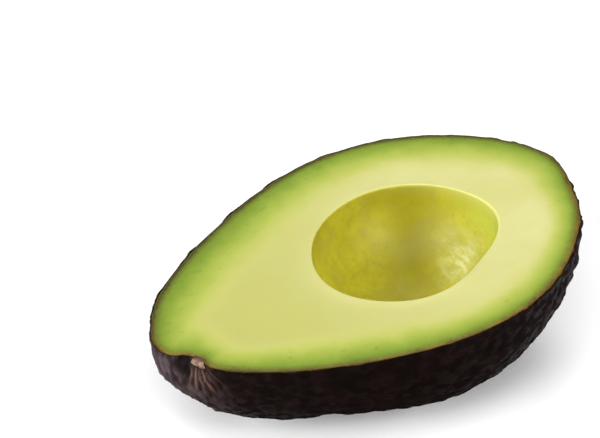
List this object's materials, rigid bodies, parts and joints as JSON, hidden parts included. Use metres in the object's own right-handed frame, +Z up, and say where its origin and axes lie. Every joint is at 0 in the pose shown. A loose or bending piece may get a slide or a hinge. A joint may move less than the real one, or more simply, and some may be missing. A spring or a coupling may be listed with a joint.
{
  "type": "avocado half",
  "caption": "Pear-shaped avocado cut lengthwise through its stem, seed out: pale green flesh with a round hollow, in a dark pebbled skin, lying on its belly.",
  "frame": {"origin": "middle of the footprint of the whole half, on the surface that it rests on", "axes": "+X along the fruit from its stem end to its blossom end, +Z up; the stem's stub is on the -Y side"},
  "size_m": [0.1008, 0.0694, 0.0381],
  "materials": {
    "flesh": "moist, soft, pale yellow-green turning green at the edge",
    "skin": "near-black brown, pebbled, waxy",
    "stem": "dry, pale tan, split"
  },
  "bodies": {
    "root": {"flesh": "flesh", "skin": "skin", "stem": "stem"}
  },
  "joints": []
}
